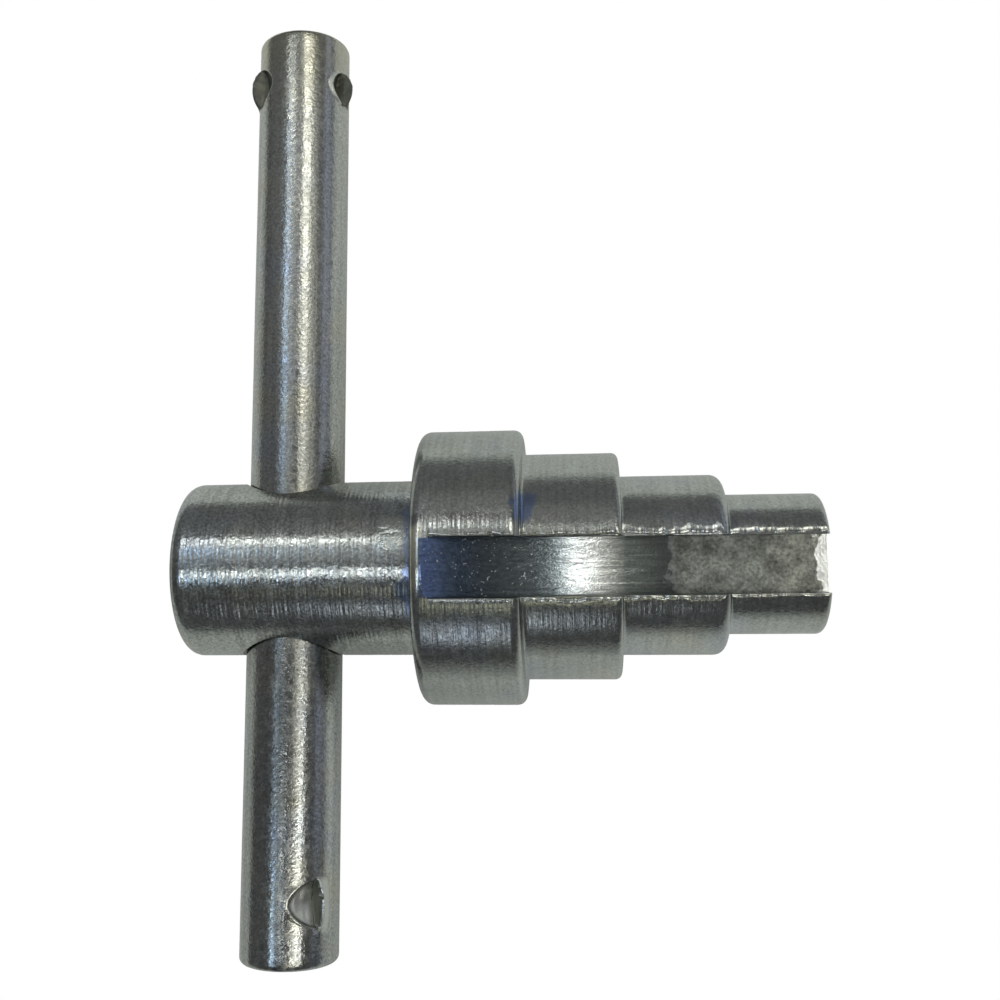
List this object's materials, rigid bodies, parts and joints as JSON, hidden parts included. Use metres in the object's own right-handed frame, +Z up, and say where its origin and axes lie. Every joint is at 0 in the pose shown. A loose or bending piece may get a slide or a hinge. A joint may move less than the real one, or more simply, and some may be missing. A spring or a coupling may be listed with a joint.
{
  "type": "radiator key",
  "caption": "Turned steel stepped radiator key with two milled slots and a sliding tommy bar through its head.",
  "frame": {"origin": "centre of the bottom of the bounding box, with the tool lying flat", "axes": "+X along the key body towards its thin tip, +Y along the tommy bar towards its longer side, +Z up, out of one of the milled slots"},
  "size_m": [0.0584, 0.0886, 0.0254],
  "materials": {
    "turned_steel": "bright zinc plate over fine turning marks",
    "drawn_steel": "bright zinc plate over drawn bar"
  },
  "bodies": {
    "key_body": {"key_body": "turned_steel"},
    "tommy_bar": {"tommy_bar": "drawn_steel"}
  },
  "joints": [
    {"name": "bar_slide", "type": "slide", "parent": "key_body", "child": "tommy_bar", "axis": [0, 1, 0], "range_m": [-0.0375, 0.0202]}
  ]
}
